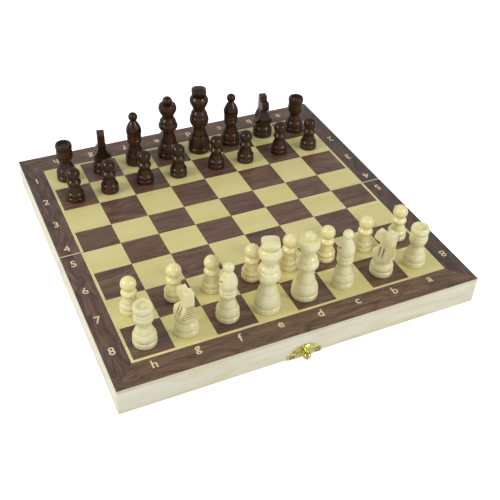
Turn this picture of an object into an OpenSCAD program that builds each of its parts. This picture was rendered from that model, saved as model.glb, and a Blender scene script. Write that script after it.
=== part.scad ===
// Folding chess board whose two halves are shallow trays. Folded rim to rim they are the box for the men.
// X runs along the fold, +Y to the far half, +Z up. The origin is under the middle of the fold,
// at the lowest point of the hinge knuckles.

/* [Board] */
// Side of one whole playing square
square = 33; // [30:0.5:38]
// Depth of the near row that the fold cuts short
near_fold_row = 28.2; // [26:0.2:32]
// Depth of the far row that the fold cuts short
far_fold_row = 26.7; // [25:0.1:30]
// Depth of the near edge row
near_edge_row = 33; // [29:0.2:34]
// Depth of the far edge row, trimmed by the stringing
far_edge_row = 31.2; // [29:0.2:34]
// Width of the leftmost and rightmost columns, trimmed by the stringing
side_column = 31.2; // [29:0.2:34]
// Walnut border left and right of the squares, stringing included
side_border = 19.8; // [12:0.2:24]
// Walnut border in front of the squares, stringing included
front_border = 22.5; // [16:0.5:28]
// Width of the pale stringing line round the squares
stringing_w = 2.2; // [1:0.1:4]
// Pale wood left bare between the far border and the fold
fold_trim = 0.8; // [0:0.1:2]
// Thickness of the veneer
veneer_t = 0.6; // [0.4:0.1:1.2]
// Glue line between neighbouring veneers
veneer_joint = 0.04; // [0.02:0.01:0.08]
// Thickness of the panel under the veneer
panel_t = 3; // [2.5:0.5:5]

/* [Trays] */
// Height of the tray walls
wall_h = 21.4; // [18:0.2:30]
// Thickness of the tray walls
wall_t = 8; // [7:0.5:10]
// Rounding of the lower outer edge of the walls
wall_round = 1.2; // [0.5:0.1:2.5]
// Gap between the two halves at the fold
fold_gap = 0.6; // [0.4:0.1:1.0]

/* [Fold hinges] */
// Distance of each hinge from the middle of the fold
hinge_x = 95; // [60:1:115]
// Length of a hinge
hinge_len = 26; // [20:1:34]
// Outer radius of the knuckles
knuckle_r = 1.1; // [0.9:0.05:1.3]
// Radius of the hinge pin
hinge_pin_r = 0.5; // [0.4:0.05:0.6]
// Thickness of a leaf, let into the rim
leaf_t = 0.8; // [0.6:0.1:1.0]
// Width of a leaf from the fold
leaf_w = 6.6; // [5.8:0.1:6.9]
// Distance of the hinge axis below the rims
axis_drop = 0.05; // [0.03:0.01:0.1]
// Distance of the two screws of a leaf from the middle of the hinge
hinge_screw_x = 8; // [6:0.5:9]
// Distance of the screws from the fold
hinge_screw_y = 4; // [3.6:0.1:4.4]
// Shank radius of the hinge screws
screw_r = 0.9; // [0.7:0.05:1.1]
// Head radius of the hinge screws
screw_head_r = 1.8; // [1.5:0.05:2.0]
// Length of the hinge screws
screw_len = 9; // [6:0.5:14]

/* [Catch] */
// Place of the catch along the wall, from the middle
catch_x = -5; // [-30:1:30]
// Thickness of the stamped plates
plate_t = 0.6; // [0.4:0.1:0.8]
// Width of the half-moon plates
plate_w = 28.8; // [26:0.2:32]
// Height of the catch plate above the rim
catch_h = 12.4; // [11:0.2:15]
// Height of the square ears at the ends of the catch plate
catch_ear_h = 5.6; // [4:0.2:7]
// Distance of the plate's straight edge from the rim
catch_edge = 0.3; // [0.1:0.1:1]
// Rise of the dome pressed into the catch plate
dome_rise = 0.5; // [0.2:0.1:0.7]
// Flat margin round the dome
dome_margin = 2.6; // [2:0.2:4]
// Radius of the ball knob
knob_r = 3.3; // [2.8:0.1:3.6]
// Radius of the knob's neck
knob_neck_r = 1.8; // [1.2:0.1:2.2]
// Distance of the ball's centre from the wall
knob_out = 4.4; // [4:0.1:5]
// Height of the ball's centre above the rim
knob_z = 4.3; // [4:0.1:5]
// Distance of each nail from the end of its plate
nail_margin = 3.2; // [2.6:0.1:4]
// Height of the catch nails above the rim
catch_nail_z = 2.7; // [2:0.1:4]
// Radius of a nail's head
nail_head_r = 1.3; // [1:0.1:1.6]
// Radius of a nail's shank
nail_r = 0.6; // [0.4:0.05:0.8]
// Length of a nail in the wood
nail_len = 6; // [4:0.5:6.5]

/* [Hasp] */
// Height of the hasp's pin above the rim
hasp_z = 8.5; // [8:0.1:9.5]
// Height of the hasp plate above its pin
hasp_plate_h = 10; // [9:0.2:12]
// Outer radius of the hasp's knuckles
hasp_knuckle_r = 1.3; // [1:0.05:1.5]
// Radius of the hasp's pin
hasp_pin_r = 0.5; // [0.4:0.05:0.6]
// Width of the flap
flap_w = 12; // [11.4:0.2:14]
// Thickness of the flap
flap_t = 0.7; // [0.5:0.1:0.9]
// Width of the flap's own knuckle
flap_knuckle_w = 5.6; // [4:0.2:7]
// Reach of the finger lip at the flap's tip, away from the box when the flap is shut
lip_reach = 1.8; // [1:0.1:1.9]

/* [Turned feet] */
// Height of the plain ring at the foot of a man
ring_h = 4.2; // [3:0.1:5]
// Chamfer under the ring
ring_chamfer = 0.6; // [0.3:0.1:1]
// Depth of the turned grooves
groove = 0.7; // [0.4:0.05:0.9]
// Height of the widest point of the foot's swell above the groove
swell_rise = 2.4; // [1.6:0.1:3]
// Step at the shelf on top of the foot
shelf_step = 0.3; // [0.1:0.05:0.5]

/* [King] */
// Foot radius
king_foot_r = 10.4; // [9:0.1:12]
// Foot height up to the shelf
king_foot_h = 16.6; // [14:0.2:20]
// Shelf radius
king_shelf_r = 7.8; // [7:0.1:8.6]
// Stem height up to the waist
king_stem_h = 9; // [6:0.2:12]
// Waist radius
king_waist_r = 5.5; // [4.5:0.1:6.5]
// Body height up to its groove
king_body_h = 12.8; // [10:0.2:16]
// Body radius
king_body_r = 9; // [8:0.1:9.8]
// Height from the groove to the neck
king_neck_h = 5.4; // [4:0.2:7]
// Neck radius
king_neck_r = 5.6; // [4.6:0.1:6.2]
// Crown height up to the cap
king_crown_h = 14.2; // [11:0.2:18]
// Crown radius
king_crown_r = 8.75; // [8:0.05:9.6]
// Height of the square cap
king_cap_h = 8.2; // [6:0.2:10]
// Half width of the square cap
king_cap_w = 6.8; // [6:0.1:7.6]

/* [Queen] */
// Foot radius
queen_foot_r = 10.5; // [9:0.1:12]
// Foot height up to the shelf
queen_foot_h = 14.3; // [12:0.1:17]
// Shelf radius
queen_shelf_r = 7.8; // [7:0.1:8.6]
// Stem height up to the waist
queen_stem_h = 12; // [9:0.2:15]
// Waist radius
queen_waist_r = 5.2; // [4.4:0.1:6.2]
// Body height up to its groove
queen_body_h = 9.2; // [7:0.2:12]
// Body radius
queen_body_r = 8.9; // [8:0.1:9.8]
// Height from the groove to the neck
queen_neck_h = 5.4; // [4:0.2:7]
// Neck radius
queen_neck_r = 5.3; // [4.4:0.1:6.2]
// Crown height up to its rim
queen_crown_h = 13; // [10:0.2:16]
// Crown radius
queen_crown_r = 8.35; // [7.6:0.05:9.2]
// Radius of the ball on top
queen_ball_r = 4.5; // [4:0.1:5.2]

/* [Bishop] */
// Foot radius
bishop_foot_r = 9.1; // [8:0.1:10.5]
// Foot height up to the shelf
bishop_foot_h = 12; // [10:0.1:15]
// Shelf radius
bishop_shelf_r = 7.3; // [6.6:0.1:8]
// Stem height up to the waist
bishop_stem_h = 8.4; // [6:0.2:11]
// Waist radius
bishop_waist_r = 5; // [4:0.1:5.8]
// Collar height up to its groove
bishop_collar_h = 5.8; // [5:0.2:8]
// Collar radius
bishop_collar_r = 6.6; // [6.2:0.1:7.4]
// Mitre height up to its tip
bishop_mitre_h = 15.6; // [12:0.2:20]
// Mitre radius
bishop_mitre_r = 7; // [6.2:0.1:8]
// Radius of the ball on top
bishop_ball_r = 4.2; // [3.6:0.1:5]
// Width of the saw cut in the mitre
cut_w = 1.1; // [0.8:0.1:1.6]

/* [Knight] */
// Foot radius
knight_foot_r = 9.4; // [8.4:0.1:10.8]
// Foot height up to the shelf
knight_foot_h = 11.2; // [10:0.1:13]
// Shelf radius
knight_shelf_r = 7.4; // [7:0.1:8]
// Height of the cove between the foot and the neck
knight_cove_h = 2.8; // [2:0.2:4]
// Height of the head and neck above the cove
knight_head_h = 27.5; // [24:0.5:34]
// Neck radius at its foot
knight_neck_r = 8.2; // [7.8:0.1:8.8]
// Reach of the nape from the axis
knight_nape = 7.8; // [7.4:0.1:8.4]
// Thickness of the head above the flaring neck
knight_head_t = 6.8; // [6:0.1:8]

/* [Rook] */
// Foot radius
rook_foot_r = 9.1; // [8:0.1:10.5]
// Foot height up to the shelf
rook_foot_h = 11.6; // [10:0.1:14]
// Shelf radius
rook_shelf_r = 7.3; // [6.6:0.1:8]
// Stem height up to the waist
rook_stem_h = 7; // [5:0.2:10]
// Waist radius
rook_waist_r = 4.9; // [4:0.1:5.8]
// Tower height up to its groove
rook_tower_h = 12; // [9:0.2:15]
// Tower radius
rook_tower_r = 7.4; // [6.8:0.1:8]
// Height of the plain ring on top
rook_top_h = 6; // [4.5:0.1:8]
// Radius of the hollow in the top
rook_hollow_r = 4.6; // [3.8:0.1:5.2]
// Depth of the hollow in the top
rook_hollow_h = 2.2; // [1:0.1:3.5]

/* [Pawn] */
// Foot radius
pawn_foot_r = 7.9; // [7:0.1:9]
// Height of the ring at the foot of a pawn
pawn_ring_h = 3.6; // [3:0.1:4]
// Foot height up to the shelf
pawn_foot_h = 9; // [8.6:0.1:11]
// Shelf radius
pawn_shelf_r = 6.5; // [6:0.1:6.8]
// Stem height up to the waist
pawn_stem_h = 6.2; // [4.6:0.2:9]
// Waist radius
pawn_waist_r = 4.7; // [4:0.1:5.4]
// Collar height up to the head
pawn_collar_h = 6.3; // [5:0.1:8]
// Collar radius
pawn_collar_r = 6.15; // [5.8:0.05:6.8]
// Radius of the round head
pawn_ball_r = 6.05; // [5.4:0.05:6.8]

/* [Hidden] */
$fn = 48;
board_w = 6 * square + 2 * side_column + 2 * side_border;
half_depth = front_border + near_edge_row + 2 * square + near_fold_row;
half_h = wall_h + panel_t + veneer_t;
rim_z = knuckle_r + axis_drop;
board_top = rim_z + half_h;

// Clearances
turn_clear = 0.25;
pin_clear = 0.05;
knuckle_gap = 0.2;
fastener_clear = 0.05;
hasp_clear = 0.2;

// Hasp measures that follow from the catch
hasp_out = plate_t + hasp_clear + hasp_knuckle_r;
knob_reach = sqrt(pow(hasp_z + knob_z, 2) + pow(knob_out - hasp_out, 2));
hole_r = knob_r + 0.35;
flap_len = knob_reach + hole_r + 1.9;
lip_t = 0.6;
nail_head_h = 0.7;
nail_ring = 0.6;

// Knight: where the flare ends, the swell of its blank, the cuts in the neck and the mane
flare = 0.53;
blank_swell = 1.2;
neck_cuts = [-1.2, 2.3];
mane_clear = 0.2;

// Turned work: steps in a curve, and the small beads, steps and seats
steps = 5;
bead_h = 1;
bead = 0.5;
edge = 0.2;
cap_bed = 0.2;
cap_corner = 1.15;
ball_bed = 0.4;
mitre_tip_r = 2.4;
mitre_collar_h = 3.2;
tower_line = 2.4;
pawn_step = 0.9;

near_tray = ["near_panel", "near_front_wall", "near_left_wall", "near_right_wall", "near_hinge_wall"];
near_top = ["near_border", "near_stringing", "near_dark_squares", "near_light_squares"];
far_tray = ["far_panel", "far_back_wall", "far_left_wall", "far_right_wall", "far_hinge_wall"];
far_top = ["far_border", "far_stringing", "far_dark_squares", "far_light_squares"];
hinges = ["near_hinge_leaves", "near_hinge_screws", "hinge_pins", "far_hinge_leaves", "far_hinge_screws"];
catches = ["catch_plate", "catch_nails", "hasp_plate", "hasp_nails", "hasp_flap"];

// Each man: name, kind, light or dark, file 0 to 7 from the left, row 0 to 7 from the front,
// how far it stands off its square's middle in X and Y, and how it is turned
MEN = [
    ["light_rook_left", "rook", true, 0, 0, -1.5, -2.5, 0],
    ["light_knight_left", "knight", true, 1, 0, -3, -3, 274],
    ["light_bishop_left", "bishop", true, 2, 0, -2.5, -1.5, 210],
    ["light_king", "king", true, 3, 0, -4, -3.5, 340],
    ["light_queen", "queen", true, 4, 0, -4, -1.5, 0],
    ["light_bishop_right", "bishop", true, 5, 0, -3.5, -1.5, 200],
    ["light_knight_right", "knight", true, 6, 0, -0.5, -1.5, 292],
    ["light_rook_right", "rook", true, 7, 0, -2.5, -2, 0],
    ["light_pawn_1", "pawn", true, 0, 1, -1, 0, 0],
    ["light_pawn_2", "pawn", true, 1, 1, 1.5, 1, 0],
    ["light_pawn_3", "pawn", true, 2, 1, -1.5, -1, 0],
    ["light_pawn_4", "pawn", true, 3, 1, -0.5, -0.5, 0],
    ["light_pawn_5", "pawn", true, 4, 1, -0.5, -0.5, 0],
    ["light_pawn_6", "pawn", true, 5, 1, -1, -2.5, 0],
    ["light_pawn_7", "pawn", true, 6, 1, 1.5, -3, 0],
    ["light_pawn_8", "pawn", true, 7, 1, 2.5, -1, 0],
    ["dark_pawn_1", "pawn", false, 0, 6, -1, -2.5, 0],
    ["dark_pawn_2", "pawn", false, 1, 6, -2.5, -1.5, 0],
    ["dark_pawn_3", "pawn", false, 2, 6, -2, 0.5, 0],
    ["dark_pawn_4", "pawn", false, 3, 6, -3, -0.5, 0],
    ["dark_pawn_5", "pawn", false, 4, 6, 1.5, -0.5, 0],
    ["dark_pawn_6", "pawn", false, 5, 6, -2, -1.5, 0],
    ["dark_pawn_7", "pawn", false, 6, 6, 1.5, 0.5, 0],
    ["dark_pawn_8", "pawn", false, 7, 6, -1.5, -3, 0],
    ["dark_rook_left", "rook", false, 0, 7, 0.5, -0.6, 0],
    ["dark_knight_left", "knight", false, 1, 7, 1.5, -0.6, 257],
    ["dark_bishop_left", "bishop", false, 2, 7, 0, 1.4, 330],
    ["dark_queen", "queen", false, 3, 7, 0.5, 2.4, 0],
    ["dark_king", "king", false, 4, 7, -2.5, -0.1, 340],
    ["dark_bishop_right", "bishop", false, 5, 7, -2.5, 0.9, 340],
    ["dark_knight_right", "knight", false, 6, 7, 0, 2.9, 79],
    ["dark_rook_right", "rook", false, 7, 7, 0.5, -0.6, 0]
];

// Local frame of a half: Y runs outward from the fold face, Z up from the rim
module half(near) {
    mirror([0, near ? 1 : 0, 0])
        translate([0, fold_gap / 2, rim_z])
            children();
}

// Local frame on an outer wall at the catch: X along the wall, Y up from the rim, Z outward
module outer_face(near) {
    half(near)
        translate([catch_x, half_depth, 0])
            mirror([0, 1, 0])
                rotate([90, 0, 0])
                    children();
}

// Section of an outer wall: X outward, Y up from the rim, lower outer edge rounded
module wall_section() {
    difference() {
        square([wall_t, wall_h]);
        translate([wall_t - wall_round, 0])
            difference() {
                square(wall_round);
                translate([0, wall_round])
                    circle(wall_round);
            }
    }
}

module panel(near) {
    color("burlywood")
        half(near)
            translate([-board_w / 2, 0, wall_h])
                cube([board_w, half_depth, panel_t]);
}

module outer_wall(near) {
    color("cornsilk")
        difference() {
            half(near)
                translate([-board_w / 2, half_depth - wall_t, 0])
                    rotate([90, 0, 90])
                        linear_extrude(board_w)
                            wall_section();
            nail_holes(near);
        }
}

module side_wall(near, right) {
    color("cornsilk")
        mirror([right ? 0 : 1, 0, 0])
            half(near)
                translate([board_w / 2 - wall_t, half_depth - wall_t, 0])
                    rotate([90, 0, 0])
                        linear_extrude(half_depth - 2 * wall_t)
                            wall_section();
}

module hinge_wall(near) {
    color("cornsilk")
        difference() {
            half(near)
                translate([-board_w / 2, 0, 0])
                    cube([board_w, wall_t, wall_h]);
            at_hinges(near) {
                translate([-hinge_len / 2 - fastener_clear, -fold_gap, -1])
                    cube([hinge_len + 2 * fastener_clear, fold_gap + leaf_w + fastener_clear, 1 + leaf_t]);
                along_axis(hinge_len + 2 * turn_clear)
                    circle(knuckle_r + turn_clear);
                at_screws()
                    translate([0, 0, -1])
                        cylinder(h = screw_len + 1 + fastener_clear, r = screw_r + fastener_clear);
            }
        }
}

// Depth of the row next to the fold
function fold_row(near) = near ? near_fold_row : far_fold_row;
// Near and far edge of playing row i, counted from the fold
function row_from(near, i) = i == 0 ? 0 : fold_row(near) + (i - 1) * square;
function row_to(near, i) =
    i == 3 ? row_from(near, 3) + (near ? near_edge_row : far_edge_row) : fold_row(near) + i * square;
function grid_depth(near) = row_to(near, 3);
// Left edge of each column, and the right edge of the last one
grid_w = 6 * square + 2 * side_column;
function column_x(column) =
    column == 0 ? -grid_w / 2 :
    column == 8 ? grid_w / 2 : (column - 4) * square;
// True where the square of this file and this row from the fold is dark
function is_dark(near, column, i) = (column + (near ? 3 - i : 4 + i)) % 2 == 0;

module squares(near, dark) {
    color(dark ? "saddlebrown" : "darkkhaki")
        half(near)
            translate([0, 0, wall_h + panel_t])
                for (column = [0:7], i = [0:3])
                    if (is_dark(near, column, i) == dark)
                        translate([
                            column_x(column) + veneer_joint / 2,
                            row_from(near, i) + veneer_joint / 2,
                            0
                        ])
                            cube([
                                column_x(column + 1) - column_x(column) - veneer_joint,
                                row_to(near, i) - row_from(near, i) - veneer_joint,
                                veneer_t
                            ]);
}

module stringing(near) {
    inner_w = grid_w + veneer_joint;
    inner_d = grid_depth(near) + veneer_joint / 2;
    color("khaki")
        half(near)
            translate([0, 0, wall_h + panel_t])
                linear_extrude(veneer_t)
                    difference() {
                        translate([-inner_w / 2 - stringing_w, 0])
                            square([inner_w + 2 * stringing_w, inner_d + stringing_w]);
                        translate([-inner_w / 2, -1])
                            square([inner_w, inner_d + 1]);
                    }
}

// Three strips, mitred at the outer corners
module border(near) {
    inner_x = grid_w / 2 + stringing_w + veneer_joint;
    inner_y = grid_depth(near) + stringing_w + veneer_joint;
    start_y = near ? 0 : fold_trim;
    color("sienna")
        half(near)
            translate([0, 0, wall_h + panel_t])
                linear_extrude(veneer_t) {
                    for (side = [0, 1])
                        mirror([side, 0])
                            polygon([
                                [inner_x, start_y],
                                [board_w / 2, start_y],
                                [board_w / 2, half_depth - veneer_joint],
                                [inner_x, inner_y - veneer_joint]
                            ]);
                    polygon([
                        [-inner_x, inner_y],
                        [inner_x, inner_y],
                        [board_w / 2, half_depth],
                        [-board_w / 2, half_depth]
                    ]);
                }
}

// Both hinges of the fold, in the frame of a half
module at_hinges(near) {
    for (side = [-1, 1])
        half(near)
            translate([side * hinge_x, 0, 0])
                children();
}

module at_screws() {
    for (side = [-1, 1])
        translate([side * hinge_screw_x, hinge_screw_y, 0])
            children();
}

// Extrudes a section along the hinge axis, centred on the hinge
module along_axis(length, from_middle = 0) {
    translate([from_middle - length / 2, -fold_gap / 2, -axis_drop])
        rotate([90, 0, 90])
            linear_extrude(length)
                children();
}

// The three knuckles of a hinge: the near leaf carries the outer two, the far leaf the middle one
knuckle_pitch = hinge_len / 3;
function knuckle_places(near) = near ? [-knuckle_pitch, knuckle_pitch] : [0];

module hinge_leaves(near) {
    color("goldenrod")
        at_hinges(near)
            difference() {
                union() {
                    translate([-hinge_len / 2, -fold_gap / 2, 0])
                        cube([hinge_len, fold_gap / 2 + leaf_w, leaf_t]);
                    for (place = knuckle_places(near))
                        along_axis(knuckle_pitch - knuckle_gap, place)
                            circle(knuckle_r);
                }
                for (place = knuckle_places(!near))
                    along_axis(knuckle_pitch + knuckle_gap, place)
                        circle(knuckle_r + turn_clear);
                along_axis(hinge_len + 2)
                    circle(near ? hinge_pin_r : hinge_pin_r + pin_clear);
                at_screws()
                    screw_cutter();
            }
}

module hinge_pins() {
    color("darkgoldenrod")
        at_hinges(true)
            along_axis(hinge_len - knuckle_gap)
                circle(hinge_pin_r);
}

// Countersunk screw, pointing up into the wall, its head flush with the leaf
module screw_body(grow = 0) {
    cylinder(h = leaf_t, r1 = screw_head_r + grow, r2 = screw_r + grow);
    cylinder(h = screw_len, r = screw_r + grow);
}

module screw_cutter() {
    screw_body(fastener_clear);
}

module hinge_screws(near) {
    slot_w = 0.5;
    slot_h = 0.3;
    color("gold")
        at_hinges(near)
            at_screws()
                difference() {
                    screw_body();
                    translate([-screw_head_r, -slot_w / 2, -1])
                        cube([2 * screw_head_r, slot_w, 1 + slot_h]);
                }
}

// Radius of a circle through an arch of this half width and height
function arch_r(half_w, height) = (half_w * half_w + height * height) / (2 * height);

// Half-moon with its straight edge at from_y and its top at to_y
module half_moon(from_y, to_y, shrink = 0) {
    radius = arch_r(plate_w / 2, to_y - from_y + 1);
    intersection() {
        translate([0, to_y - radius])
            circle(radius - shrink, $fn = 96);
        translate([-plate_w / 2, from_y + shrink])
            square([plate_w, to_y - from_y]);
    }
}

// The nail places of a plate, at height nail_y above the rim
nail_x = plate_w / 2 - nail_margin;
module at_nails(nail_y) {
    for (side = [-1, 1])
        translate([side * nail_x, nail_y, 0])
            children();
}

hasp_nail_z = hasp_z + catch_nail_z - catch_edge;
module nail_holes(near) {
    outer_face(near)
        at_nails(near ? catch_nail_z : hasp_nail_z)
            translate([0, 0, -nail_len - fastener_clear])
                cylinder(h = nail_len + 2, r = nail_r + fastener_clear);
}

module nails(near) {
    color("gold")
        outer_face(near)
            at_nails(near ? catch_nail_z : hasp_nail_z) {
                translate([0, 0, -nail_len])
                    cylinder(h = nail_len + plate_t, r = nail_r);
                translate([0, 0, plate_t])
                    turned([
                        [0, 0],
                        [nail_head_r, 0, "l"],
                        [0, nail_head_h, "i"]
                    ]);
            }
}

module catch_plate() {
    dome_r = plate_w / 2 - dome_margin;
    color("gold")
        difference() {
            outer_face(true) {
                linear_extrude(plate_t)
                    union() {
                        half_moon(catch_edge, catch_h);
                        translate([-plate_w / 2, catch_edge])
                            square([plate_w, catch_ear_h - catch_edge]);
                    }
                intersection() {
                    translate([0, 0, plate_t])
                        linear_extrude(dome_rise)
                            difference() {
                                half_moon(catch_edge, catch_h, dome_margin - 1);
                                for (side = [-1, 1])
                                    translate([side * nail_x, catch_nail_z])
                                        circle(nail_head_r + nail_ring);
                            }
                    translate([0, knob_z, plate_t])
                        turned([
                            [0, 0],
                            [dome_r, 0, "l"],
                            [dome_r - 3, dome_rise, "o"],
                            [0, dome_rise, "l"]
                        ]);
                }
                translate([0, knob_z, 0])
                    knob();
            }
            nail_holes(true);
        }
}

// Ball knob on a short neck
module knob() {
    translate([0, 0, plate_t / 2])
        cylinder(h = knob_out - plate_t / 2, r = knob_neck_r);
    translate([0, 0, knob_out])
        sphere(knob_r);
}

module hasp_plate() {
    color("gold")
        difference() {
            outer_face(false) {
                linear_extrude(plate_t)
                    half_moon(hasp_z - hasp_knuckle_r, hasp_z + hasp_plate_h);
                for (side = [-1, 1])
                    translate([side * (flap_w / 2 + flap_knuckle_w / 2 + 2 * hasp_clear) / 2, 0, 0])
                        hasp_knuckle(flap_w / 2 - flap_knuckle_w / 2);
                along_hasp_pin(flap_w)
                    circle(hasp_pin_r);
            }
            nail_holes(false);
        }
}

module along_hasp_pin(length) {
    translate([-length / 2, hasp_z, hasp_out])
        rotate([90, 0, 90])
            linear_extrude(length)
                children();
}

// Knuckle curled up out of the plate
module hasp_knuckle(length) {
    along_hasp_pin(length)
        circle(hasp_knuckle_r);
    translate([-length / 2, hasp_z - hasp_knuckle_r, plate_t / 2])
        cube([length, hasp_knuckle_r, hasp_out - plate_t / 2]);
}

module hasp_flap() {
    shoulder = hasp_knuckle_r + turn_clear;
    color("gold")
        outer_face(false)
            difference() {
                union() {
                    along_hasp_pin(flap_knuckle_w)
                        circle(hasp_knuckle_r);
                    translate([0, hasp_z, hasp_out - flap_t / 2])
                        linear_extrude(flap_t)
                            flap_outline(shoulder);
                    translate([-flap_knuckle_w / 2, hasp_z + flap_len - lip_t, hasp_out - lip_reach])
                        cube([flap_knuckle_w, lip_t, lip_reach]);
                }
                along_hasp_pin(flap_knuckle_w + 2)
                    circle(hasp_pin_r + pin_clear);
            }
}

// Outline of the flap, with Y measured from its pin
module flap_outline(shoulder) {
    difference() {
        union() {
            translate([-flap_knuckle_w / 2, 0])
                square([flap_knuckle_w, 2 * shoulder]);
            translate([-flap_w / 2, shoulder])
                square([flap_w, knob_reach - shoulder]);
            intersection() {
                translate([0, flap_len - arch_r(flap_w / 2, flap_len - knob_reach)])
                    circle(arch_r(flap_w / 2, flap_len - knob_reach));
                translate([-flap_w / 2, knob_reach - 0.5])
                    square([flap_w, flap_len]);
            }
        }
        translate([0, knob_reach])
            circle(hole_r);
    }
}

// One stretch of a turned outline from a to b. The third entry of b says how it runs:
// "l" straight, "s" upright at both ends, "o" upright at its end, "i" upright at its start
function share(kind, t) =
    kind == "s" ? (1 - cos(180 * t)) / 2 :
    kind == "o" ? sin(90 * t) :
    kind == "i" ? 1 - cos(90 * t) : t;
function stretch(a, b) =
    b[2] == "l" ? [[b[0], b[1]]] :
    [for (i = [1:steps]) [a[0] + (b[0] - a[0]) * share(b[2], i / steps), a[1] + (b[1] - a[1]) * i / steps]];
function outline(stations) = concat(
    [[stations[0][0], stations[0][1]]],
    [for (i = [1:len(stations) - 1]) each stretch(stations[i - 1], stations[i])]
);

// Stations of a ball up to its top, above a seat that is start_r wide
function ball(radius, centre_z, start_r) = [
    for (i = [1:2 * steps - 1])
        let (span = 180 - asin(start_r / radius), angle = span * (1 - i / (2 * steps)))
            [radius * sin(angle), centre_z + radius * cos(angle), "l"],
    [0, centre_z + radius, "l"]
];
// Height of a ball's centre above the place where it is start_r wide
function ball_seat(radius, start_r) = sqrt(radius * radius - start_r * start_r);

// Solid of revolution, closed flat to its axis where the outline doesn't end there
module turned(stations) {
    last = stations[len(stations) - 1];
    rotate_extrude()
        polygon(outline(last[0] > 0 ? concat(stations, [[0, last[1], "l"]]) : stations));
}

// Foot of every man: ring, groove, swell and shelf
function foot(foot_r, ring, foot_h, shelf_r) = [
    [0, 0],
    [foot_r - ring_chamfer, 0, "l"],
    [foot_r, ring_chamfer, "l"],
    [foot_r, ring, "l"],
    [foot_r - groove, ring + groove, "l"],
    [foot_r - groove / 4, ring + groove + swell_rise, "o"],
    [shelf_r, foot_h, "i"],
    [shelf_r - shelf_step, foot_h + shelf_step, "l"]
];

// Waist, rounded body, groove, bead, neck and flaring crown of a king or queen
function royal(waist_z, waist_r, body_h, body_r, neck_h, neck_r, crown_h, crown_r, rim_r) =
    let (groove_z = waist_z + body_h, neck_z = groove_z + neck_h, crown_z = neck_z + crown_h) [
        [waist_r, waist_z, "s"],
        [body_r, waist_z + body_h * 0.6, "o"],
        [body_r - groove, groove_z - groove * 1.5, "i"],
        [body_r - 2.7 * groove, groove_z, "l"],
        [body_r - 2.7 * groove + bead, groove_z + bead_h, "o"],
        [body_r - 2.7 * groove + bead / 2, groove_z + 2 * bead_h, "i"],
        [neck_r, neck_z, "s"],
        [crown_r, neck_z + crown_h * 0.7, "s"],
        [rim_r, crown_z, "i"]
    ];

module king() {
    waist_z = king_foot_h + king_stem_h;
    cap_z = waist_z + king_body_h + king_neck_h + king_crown_h;
    turned(concat(
        foot(king_foot_r, ring_h, king_foot_h, king_shelf_r),
        royal(waist_z, king_waist_r, king_body_h, king_body_r, king_neck_h, king_neck_r,
            king_crown_h, king_crown_r, king_cap_w)
    ));
    translate([0, 0, cap_z - cap_bed])
        intersection() {
            cap_prism();
            rotate([0, 0, 90])
                cap_prism();
            cylinder(h = king_cap_h + cap_bed, r = king_cap_w * cap_corner);
        }
}

// The king's cap seen from one side: narrow at the foot, widest above the middle, rounded over
module cap_prism() {
    cap_top = king_cap_h + cap_bed;
    side = outline([
        [0, 0],
        [king_cap_w * 0.7, 0, "l"],
        [king_cap_w, cap_top * 0.6, "o"],
        [king_cap_w * 0.5, cap_top, "i"],
        [0, cap_top, "l"]
    ]);
    rotate([90, 0, 0])
        linear_extrude(2 * king_cap_w, center = true)
            union() {
                polygon(side);
                mirror([1, 0])
                    polygon(side);
            }
}

module queen() {
    waist_z = queen_foot_h + queen_stem_h;
    crown_z = waist_z + queen_body_h + queen_neck_h + queen_crown_h;
    seat_r = queen_ball_r * 0.8;
    turned(concat(
        foot(queen_foot_r, ring_h, queen_foot_h, queen_shelf_r),
        royal(waist_z, queen_waist_r, queen_body_h, queen_body_r, queen_neck_h, queen_neck_r,
            queen_crown_h, queen_crown_r, queen_crown_r - 1),
        [[seat_r, crown_z + ball_bed, "l"]],
        ball(queen_ball_r, crown_z + ball_bed + ball_seat(queen_ball_r, seat_r), seat_r)
    ));
}

module bishop() {
    waist_z = bishop_foot_h + bishop_stem_h;
    groove_z = waist_z + bishop_collar_h;
    mitre_z = groove_z + mitre_collar_h;
    tip_z = mitre_z + bishop_mitre_h;
    difference() {
        turned(concat(
            foot(bishop_foot_r, ring_h, bishop_foot_h, bishop_shelf_r),
            [
                [bishop_waist_r, waist_z, "s"],
                [bishop_collar_r, waist_z + bishop_collar_h * 0.7, "o"],
                [bishop_collar_r - groove, groove_z, "i"],
                [bishop_collar_r, groove_z + mitre_collar_h / 2, "o"],
                [bishop_collar_r - bead, mitre_z, "i"],
                [bishop_mitre_r, mitre_z + bishop_mitre_h * 0.3, "o"],
                [mitre_tip_r, tip_z, "i"]
            ],
            ball(bishop_ball_r, tip_z + ball_seat(bishop_ball_r, mitre_tip_r), mitre_tip_r)
        ));
        translate([0, 0, mitre_z + bishop_mitre_h * 0.62])
            rotate([35, 0, 0])
                translate([-bishop_mitre_r, -2 * bishop_mitre_r - cut_w, -cut_w / 2])
                    cube([2 * bishop_mitre_r, 2 * bishop_mitre_r, cut_w]);
    }
}

module rook() {
    waist_z = rook_foot_h + rook_stem_h;
    groove_z = waist_z + rook_tower_h;
    top_z = groove_z + rook_top_h;
    turned(concat(
        foot(rook_foot_r, ring_h, rook_foot_h, rook_shelf_r),
        [
            [rook_waist_r, waist_z, "s"],
            [rook_tower_r, waist_z + rook_tower_h * 0.55, "o"],
            [rook_tower_r - bead, groove_z - tower_line - edge, "i"],
            [rook_tower_r - bead / 2, groove_z - tower_line + edge, "l"],
            [rook_tower_r - groove, groove_z, "i"],
            [rook_tower_r, groove_z + rook_top_h * 0.5, "o"],
            [rook_tower_r - bead, top_z - bead, "i"],
            [rook_tower_r - 2 * bead, top_z, "l"],
            [rook_hollow_r + edge, top_z, "l"],
            [rook_hollow_r, top_z - edge, "l"],
            [rook_hollow_r, top_z - rook_hollow_h, "l"]
        ]
    ));
}

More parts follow.
